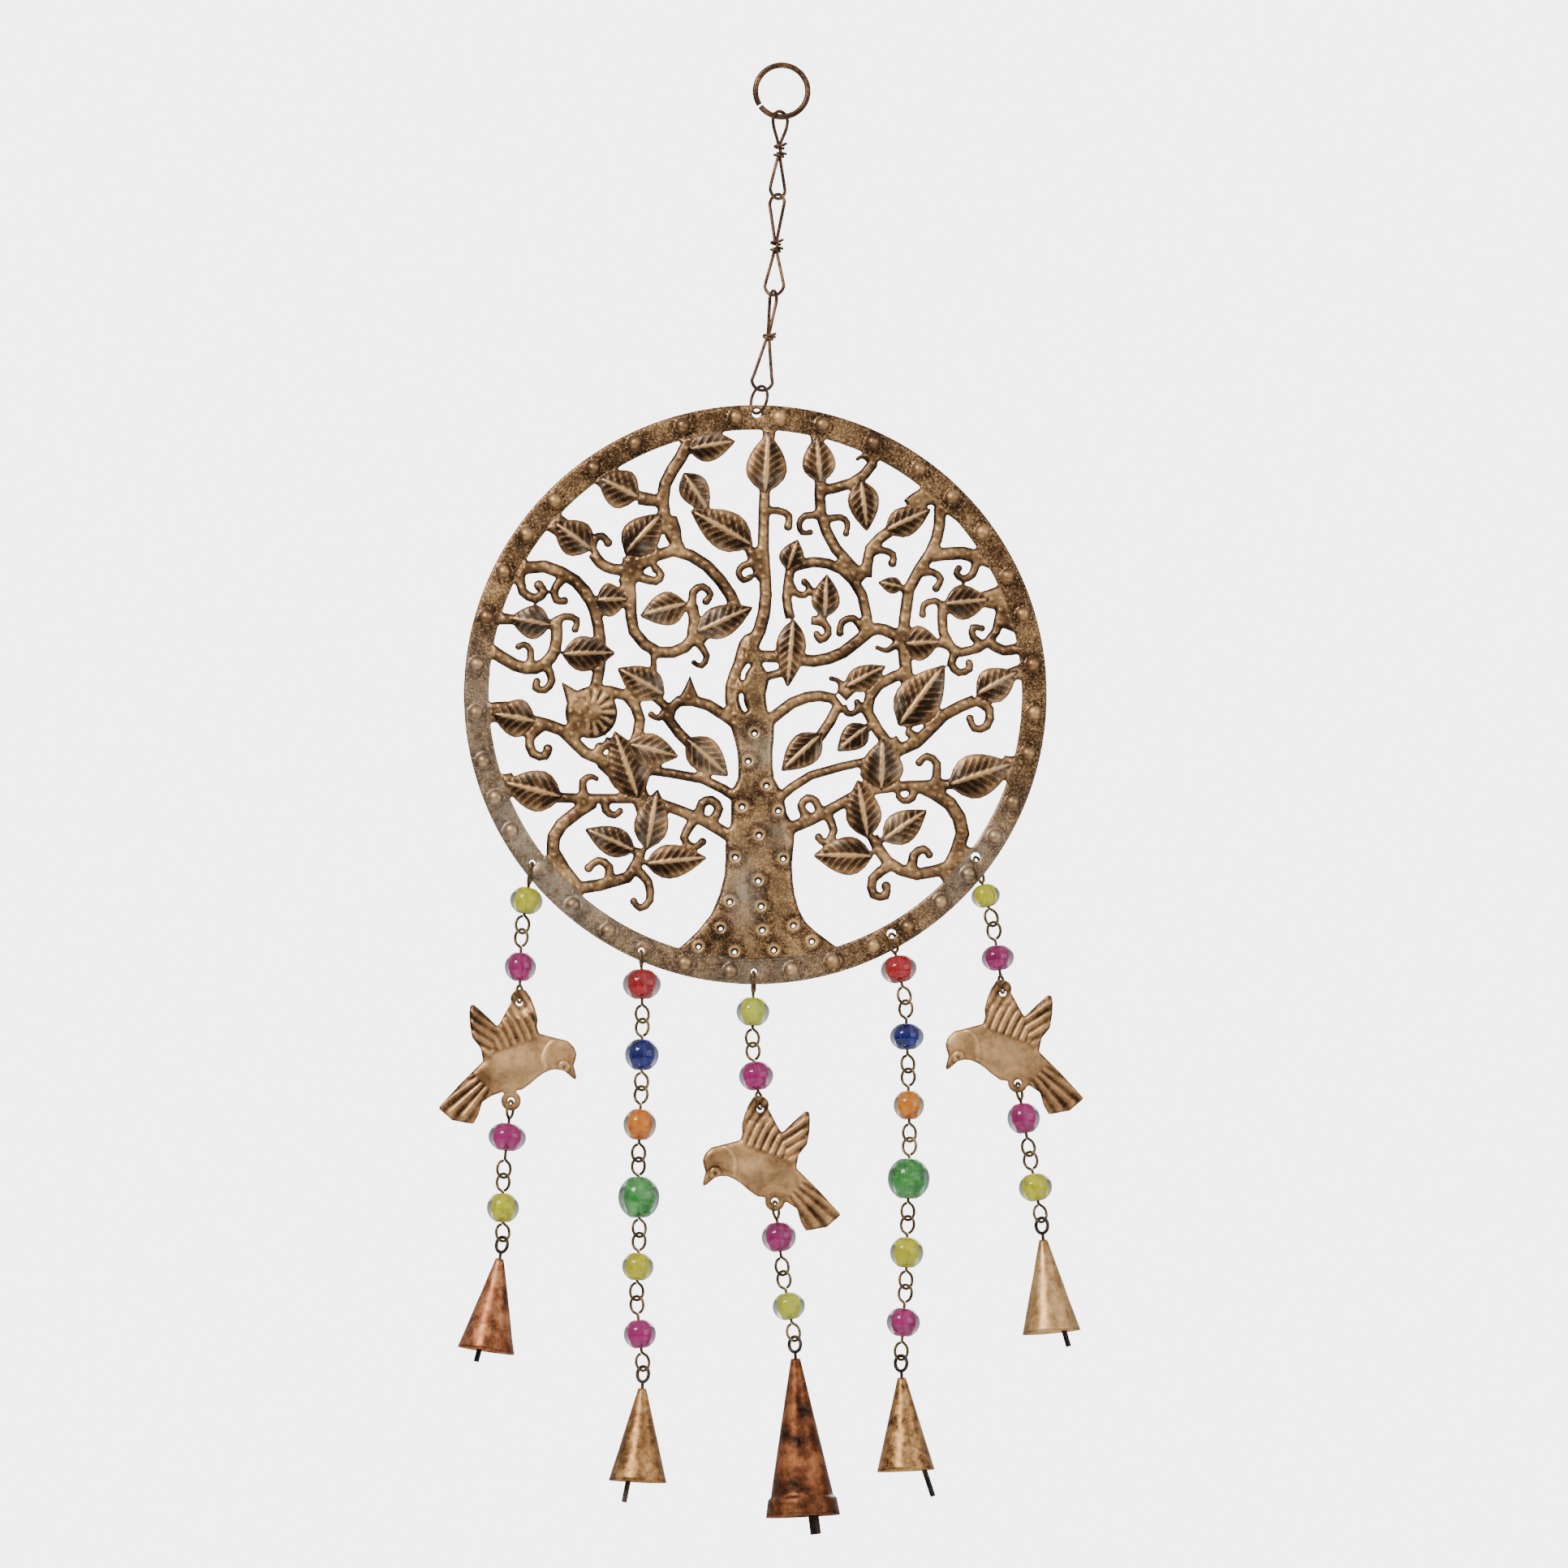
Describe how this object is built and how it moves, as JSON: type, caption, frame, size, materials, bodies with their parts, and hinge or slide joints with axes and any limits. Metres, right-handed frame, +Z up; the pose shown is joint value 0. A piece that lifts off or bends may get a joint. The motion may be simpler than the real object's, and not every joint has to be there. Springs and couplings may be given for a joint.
{
  "type": "hanging wind chime",
  "caption": "Pierced metal tree disc on a short wire chain, with five hanging strands of glass beads, flat birds and small cone bells that ring.",
  "frame": {"origin": "highest point of the hole in the hanging ring, where the hook carries it", "axes": "+Z up, +X to the right of the disc seen from its front, front of the disc towards -Y"},
  "size_m": [0.219, 0.0258, 0.5051],
  "materials": {
    "ring_and_chain": "dark antique bronze wire, brown patina, bright worn high spots",
    "tree_sheet": "antique bronze sheet, dark brown patina in the hollows, tan worn relief",
    "pin_wire": "olive brass wire, dulled",
    "bird_sheet": "golden bronze sheet with brown patina in the chased lines",
    "bell_copper": "coppery brown sheet, scratched",
    "bell_bronze": "golden bronze sheet with dark speckles",
    "bell_burnt": "dark burnt copper with black patches",
    "dark_wire": "blackened steel wire",
    "glass_yellow": "clear glass with a yellow core",
    "glass_magenta": "clear glass with a magenta core",
    "glass_red": "clear glass with a red core",
    "glass_blue": "clear glass with a blue core",
    "glass_orange": "clear glass with an orange core",
    "glass_green": "transparent green glass with a silvery core",
    "glass_yellow_green": "clear glass with a yellow-green core"
  },
  "bodies": {
    "hanging_ring": {"hanging_ring": "ring_and_chain"},
    "chain_link_1": {"chain_link_1": "ring_and_chain"},
    "chain_link_2": {"chain_link_2": "ring_and_chain"},
    "chain_link_3": {"chain_link_3": "ring_and_chain"},
    "jump_ring": {"jump_ring": "ring_and_chain"},
    "tree_disc": {"tree_disc": "tree_sheet"},
    "pin_a1": {"pin_a1": "pin_wire", "bead_a1": "glass_yellow"},
    "pin_a2": {"pin_a2": "pin_wire", "bead_a2": "glass_magenta"},
    "bird_a": {"bird_a": "bird_sheet"},
    "pin_a3": {"pin_a3": "pin_wire", "bead_a3": "glass_magenta"},
    "pin_a4": {"pin_a4": "pin_wire", "bead_a4": "glass_yellow"},
    "bell_a": {"bell_a": "bell_copper", "bell_hanger_a": "dark_wire"},
    "clapper_a": {"clapper_a": "dark_wire"},
    "pin_b1": {"beaded_pin_b1": "glass_red"},
    "pin_b2": {"beaded_pin_b2": "glass_blue"},
    "pin_b3": {"beaded_pin_b3": "glass_orange"},
    "pin_b4": {"beaded_pin_b4": "glass_green"},
    "pin_b5": {"beaded_pin_b5": "glass_yellow"},
    "pin_b6": {"beaded_pin_b6": "glass_magenta"},
    "bell_b": {"bell_b": "bell_bronze", "bell_hanger_b": "dark_wire"},
    "clapper_b": {"clapper_b": "dark_wire"},
    "pin_c1": {"pin_c1": "pin_wire", "bead_c1": "glass_yellow_green"},
    "pin_c2": {"pin_c2": "pin_wire", "bead_c2": "glass_magenta"},
    "bird_c": {"bird_c": "bird_sheet"},
    "pin_c3": {"pin_c3": "pin_wire", "bead_c3": "glass_magenta"},
    "pin_c4": {"pin_c4": "pin_wire", "bead_c4": "glass_yellow_green"},
    "bell_c": {"bell_c": "bell_burnt", "bell_hanger_c": "dark_wire"},
    "clapper_c": {"clapper_c": "dark_wire"},
    "pin_d1": {"beaded_pin_d1": "glass_red"},
    "pin_d2": {"beaded_pin_d2": "glass_blue"},
    "pin_d3": {"beaded_pin_d3": "glass_orange"},
    "pin_d4": {"beaded_pin_d4": "glass_green"},
    "pin_d5": {"beaded_pin_d5": "glass_yellow"},
    "pin_d6": {"beaded_pin_d6": "glass_magenta"},
    "bell_d": {"bell_d": "bell_bronze", "bell_hanger_d": "dark_wire"},
    "clapper_d": {"clapper_d": "dark_wire"},
    "pin_e1": {"pin_e1": "pin_wire", "bead_e1": "glass_yellow"},
    "pin_e2": {"pin_e2": "pin_wire", "bead_e2": "glass_magenta"},
    "bird_e": {"bird_e": "bird_sheet"},
    "pin_e3": {"pin_e3": "pin_wire", "bead_e3": "glass_magenta"},
    "pin_e4": {"pin_e4": "pin_wire", "bead_e4": "glass_yellow"},
    "bell_e": {"bell_e": "bell_bronze", "bell_hanger_e": "dark_wire"},
    "clapper_e": {"clapper_e": "dark_wire"}
  },
  "joints": [
    {"name": "ring_to_link_1", "type": "hinge", "parent": "hanging_ring", "child": "chain_link_1", "pos_m": [-0.0004, 0, -0.01585], "axis": [1, 0, 0], "range_deg": [-15, 15]},
    {"name": "link_1_to_link_2", "type": "hinge", "parent": "chain_link_1", "child": "chain_link_2", "pos_m": [-0.0015, 0, -0.0447], "axis": [0, 1, 0], "range_deg": [-25, 25]},
    {"name": "link_2_to_link_3", "type": "hinge", "parent": "chain_link_2", "child": "chain_link_3", "pos_m": [-0.0026, 0, -0.0782], "axis": [-1, 0, 0], "range_deg": [-30, 30]},
    {"name": "link_3_to_jump_ring", "type": "hinge", "parent": "chain_link_3", "child": "jump_ring", "pos_m": [-0.007, 0, -0.1112], "axis": [0, -1, 0], "range_deg": [-20, 20]},
    {"name": "jump_ring_to_disc", "type": "hinge", "parent": "jump_ring", "child": "tree_disc", "pos_m": [-0.0086, 0, -0.1199], "axis": [1, 0, 0], "range_deg": [-20, 20]},
    {"name": "disc_to_pin_a1", "type": "hinge", "parent": "tree_disc", "child": "pin_a1", "pos_m": [-0.085, 0, -0.2746], "axis": [0, 1, 0], "range_deg": [-1.5, 20]},
    {"name": "pin_a1_to_pin_a2", "type": "hinge", "parent": "pin_a1", "child": "pin_a2", "pos_m": [-0.0886, 0, -0.298], "axis": [1, 0, 0], "range_deg": [-30, 30]},
    {"name": "pin_a2_to_bird_a", "type": "hinge", "parent": "pin_a2", "child": "bird_a", "pos_m": [-0.0893, 0, -0.3224], "axis": [0, -1, 0], "range_deg": [-15, 12]},
    {"name": "bird_a_to_pin_a3", "type": "hinge", "parent": "bird_a", "child": "pin_a3", "pos_m": [-0.092, 0, -0.3559], "axis": [-1, 0, 0], "range_deg": [-25, 25]},
    {"name": "pin_a3_to_pin_a4", "type": "hinge", "parent": "pin_a3", "child": "pin_a4", "pos_m": [-0.0946, 0, -0.3814], "axis": [0, 1, 0], "range_deg": [-15, 15]},
    {"name": "pin_a4_to_bell_a", "type": "hinge", "parent": "pin_a4", "child": "bell_a", "pos_m": [-0.0947, 0, -0.403], "axis": [1, 0, 0], "range_deg": [-30, 30]},
    {"name": "clapper_a_swing", "type": "hinge", "parent": "bell_a", "child": "clapper_a", "pos_m": [-0.09701, 0, -0.41883], "axis": [0, 1, 0], "range_deg": [-23.5, 11.5]},
    {"name": "disc_to_pin_b1", "type": "hinge", "parent": "tree_disc", "child": "pin_b1", "pos_m": [-0.0478, 0, -0.3047], "axis": [0, 1, 0], "range_deg": [-8, 8]},
    {"name": "pin_b1_to_pin_b2", "type": "hinge", "parent": "pin_b1", "child": "pin_b2", "pos_m": [-0.0474, 0, -0.3286], "axis": [1, 0, 0], "range_deg": [-30, 30]},
    {"name": "pin_b2_to_pin_b3", "type": "hinge", "parent": "pin_b2", "child": "pin_b3", "pos_m": [-0.0477, 0, -0.3516], "axis": [0, -1, 0], "range_deg": [-12, 9]},
    {"name": "pin_b3_to_pin_b4", "type": "hinge", "parent": "pin_b3", "child": "pin_b4", "pos_m": [-0.0487, 0, -0.3759], "axis": [-1, 0, 0], "range_deg": [-30, 30]},
    {"name": "pin_b4_to_pin_b5", "type": "hinge", "parent": "pin_b4", "child": "pin_b5", "pos_m": [-0.0483, 0, -0.4015], "axis": [0, 1, 0], "range_deg": [-14, 14]},
    {"name": "pin_b5_to_pin_b6", "type": "hinge", "parent": "pin_b5", "child": "pin_b6", "pos_m": [-0.0493, 0, -0.423], "axis": [1, 0, 0], "range_deg": [-30, 30]},
    {"name": "pin_b6_to_bell_b", "type": "hinge", "parent": "pin_b6", "child": "bell_b", "pos_m": [-0.0469, 0, -0.4469], "axis": [0, -1, 0], "range_deg": [-25, 25]},
    {"name": "clapper_b_swing", "type": "hinge", "parent": "bell_b", "child": "clapper_b", "pos_m": [-0.04768, 0, -0.46288], "axis": [0, 1, 0], "range_deg": [-25.7, 9.3]},
    {"name": "disc_to_pin_c1", "type": "hinge", "parent": "tree_disc", "child": "pin_c1", "pos_m": [-0.0095, 0, -0.3119], "axis": [0, 1, 0], "range_deg": [-1.5, 8]},
    {"name": "pin_c1_to_pin_c2", "type": "hinge", "parent": "pin_c1", "child": "pin_c2", "pos_m": [-0.01, 0, -0.3368], "axis": [1, 0, 0], "range_deg": [-30, 30]},
    {"name": "pin_c2_to_bird_c", "type": "hinge", "parent": "pin_c2", "child": "bird_c", "pos_m": [-0.0073, 0, -0.3587], "axis": [0, -1, 0], "range_deg": [-8, 3]},
    {"name": "bird_c_to_pin_c3", "type": "hinge", "parent": "bird_c", "child": "pin_c3", "pos_m": [-0.0023, 0, -0.3901], "axis": [-1, 0, 0], "range_deg": [-25, 25]},
    {"name": "pin_c3_to_pin_c4", "type": "hinge", "parent": "pin_c3", "child": "pin_c4", "pos_m": [0.0004, 0, -0.4145], "axis": [0, 1, 0], "range_deg": [-5, 8]},
    {"name": "pin_c4_to_bell_c", "type": "hinge", "parent": "pin_c4", "child": "bell_c", "pos_m": [0.0044, 0, -0.4368], "axis": [1, 0, 0], "range_deg": [-30, 30]},
    {"name": "clapper_c_swing", "type": "hinge", "parent": "bell_c", "child": "clapper_c", "pos_m": [0.00515, 0, -0.45278], "axis": [0, 1, 0], "range_deg": [-6.9, 16.1]},
    {"name": "disc_to_pin_d1", "type": "hinge", "parent": "tree_disc", "child": "pin_d1", "pos_m": [0.0374, 0, -0.2989], "axis": [0, -1, 0], "range_deg": [-1.5, 6]},
    {"name": "pin_d1_to_pin_d2", "type": "hinge", "parent": "pin_d1", "child": "pin_d2", "pos_m": [0.0422, 0, -0.3223], "axis": [1, 0, 0], "range_deg": [-30, 30]},
    {"name": "pin_d2_to_pin_d3", "type": "hinge", "parent": "pin_d2", "child": "pin_d3", "pos_m": [0.043, 0, -0.3456], "axis": [0, 1, 0], "range_deg": [-12, 3]},
    {"name": "pin_d3_to_pin_d4", "type": "hinge", "parent": "pin_d3", "child": "pin_d4", "pos_m": [0.0435, 0, -0.3691], "axis": [-1, 0, 0], "range_deg": [-30, 30]},
    {"name": "pin_d4_to_pin_d5", "type": "hinge", "parent": "pin_d4", "child": "pin_d5", "pos_m": [0.0428, 0, -0.3958], "axis": [0, -1, 0], "range_deg": [-5, 14]},
    {"name": "pin_d5_to_pin_d6", "type": "hinge", "parent": "pin_d5", "child": "pin_d6", "pos_m": [0.0421, 0, -0.4191], "axis": [1, 0, 0], "range_deg": [-30, 30]},
    {"name": "pin_d6_to_bell_d", "type": "hinge", "parent": "pin_d6", "child": "bell_d", "pos_m": [0.0404, 0, -0.4432], "axis": [0, 1, 0], "range_deg": [-25, 12]},
    {"name": "clapper_d_swing", "type": "hinge", "parent": "bell_d", "child": "clapper_d", "pos_m": [0.0411, 0, -0.45918], "axis": [0, 1, 0], "range_deg": [-1.8, 33.2]},
    {"name": "disc_to_pin_e1", "type": "hinge", "parent": "tree_disc", "child": "pin_e1", "pos_m": [0.0661, 0, -0.2726], "axis": [0, -1, 0], "range_deg": [-0.3, 20]},
    {"name": "pin_e1_to_pin_e2", "type": "hinge", "parent": "pin_e1", "child": "pin_e2", "pos_m": [0.072, 0, -0.2956], "axis": [1, 0, 0], "range_deg": [-30, 30]},
    {"name": "pin_e2_to_bird_e", "type": "hinge", "parent": "pin_e2", "child": "bird_e", "pos_m": [0.0753, 0, -0.3191], "axis": [0, 1, 0], "range_deg": [-15, 7]},
    {"name": "bird_e_to_pin_e3", "type": "hinge", "parent": "bird_e", "child": "pin_e3", "pos_m": [0.0803, 0, -0.3498], "axis": [-1, 0, 0], "range_deg": [-25, 25]},
    {"name": "pin_e3_to_pin_e4", "type": "hinge", "parent": "pin_e3", "child": "pin_e4", "pos_m": [0.0842, 0, -0.374], "axis": [0, -1, 0], "range_deg": [-15, 15]},
    {"name": "pin_e4_to_bell_e", "type": "hinge", "parent": "pin_e4", "child": "bell_e", "pos_m": [0.0882, 0, -0.3965], "axis": [1, 0, 0], "range_deg": [-30, 30]},
    {"name": "clapper_e_swing", "type": "hinge", "parent": "bell_e", "child": "clapper_e", "pos_m": [0.08959, 0, -0.41244], "axis": [0, 1, 0], "range_deg": [-6.5, 28.5]}
  ]
}
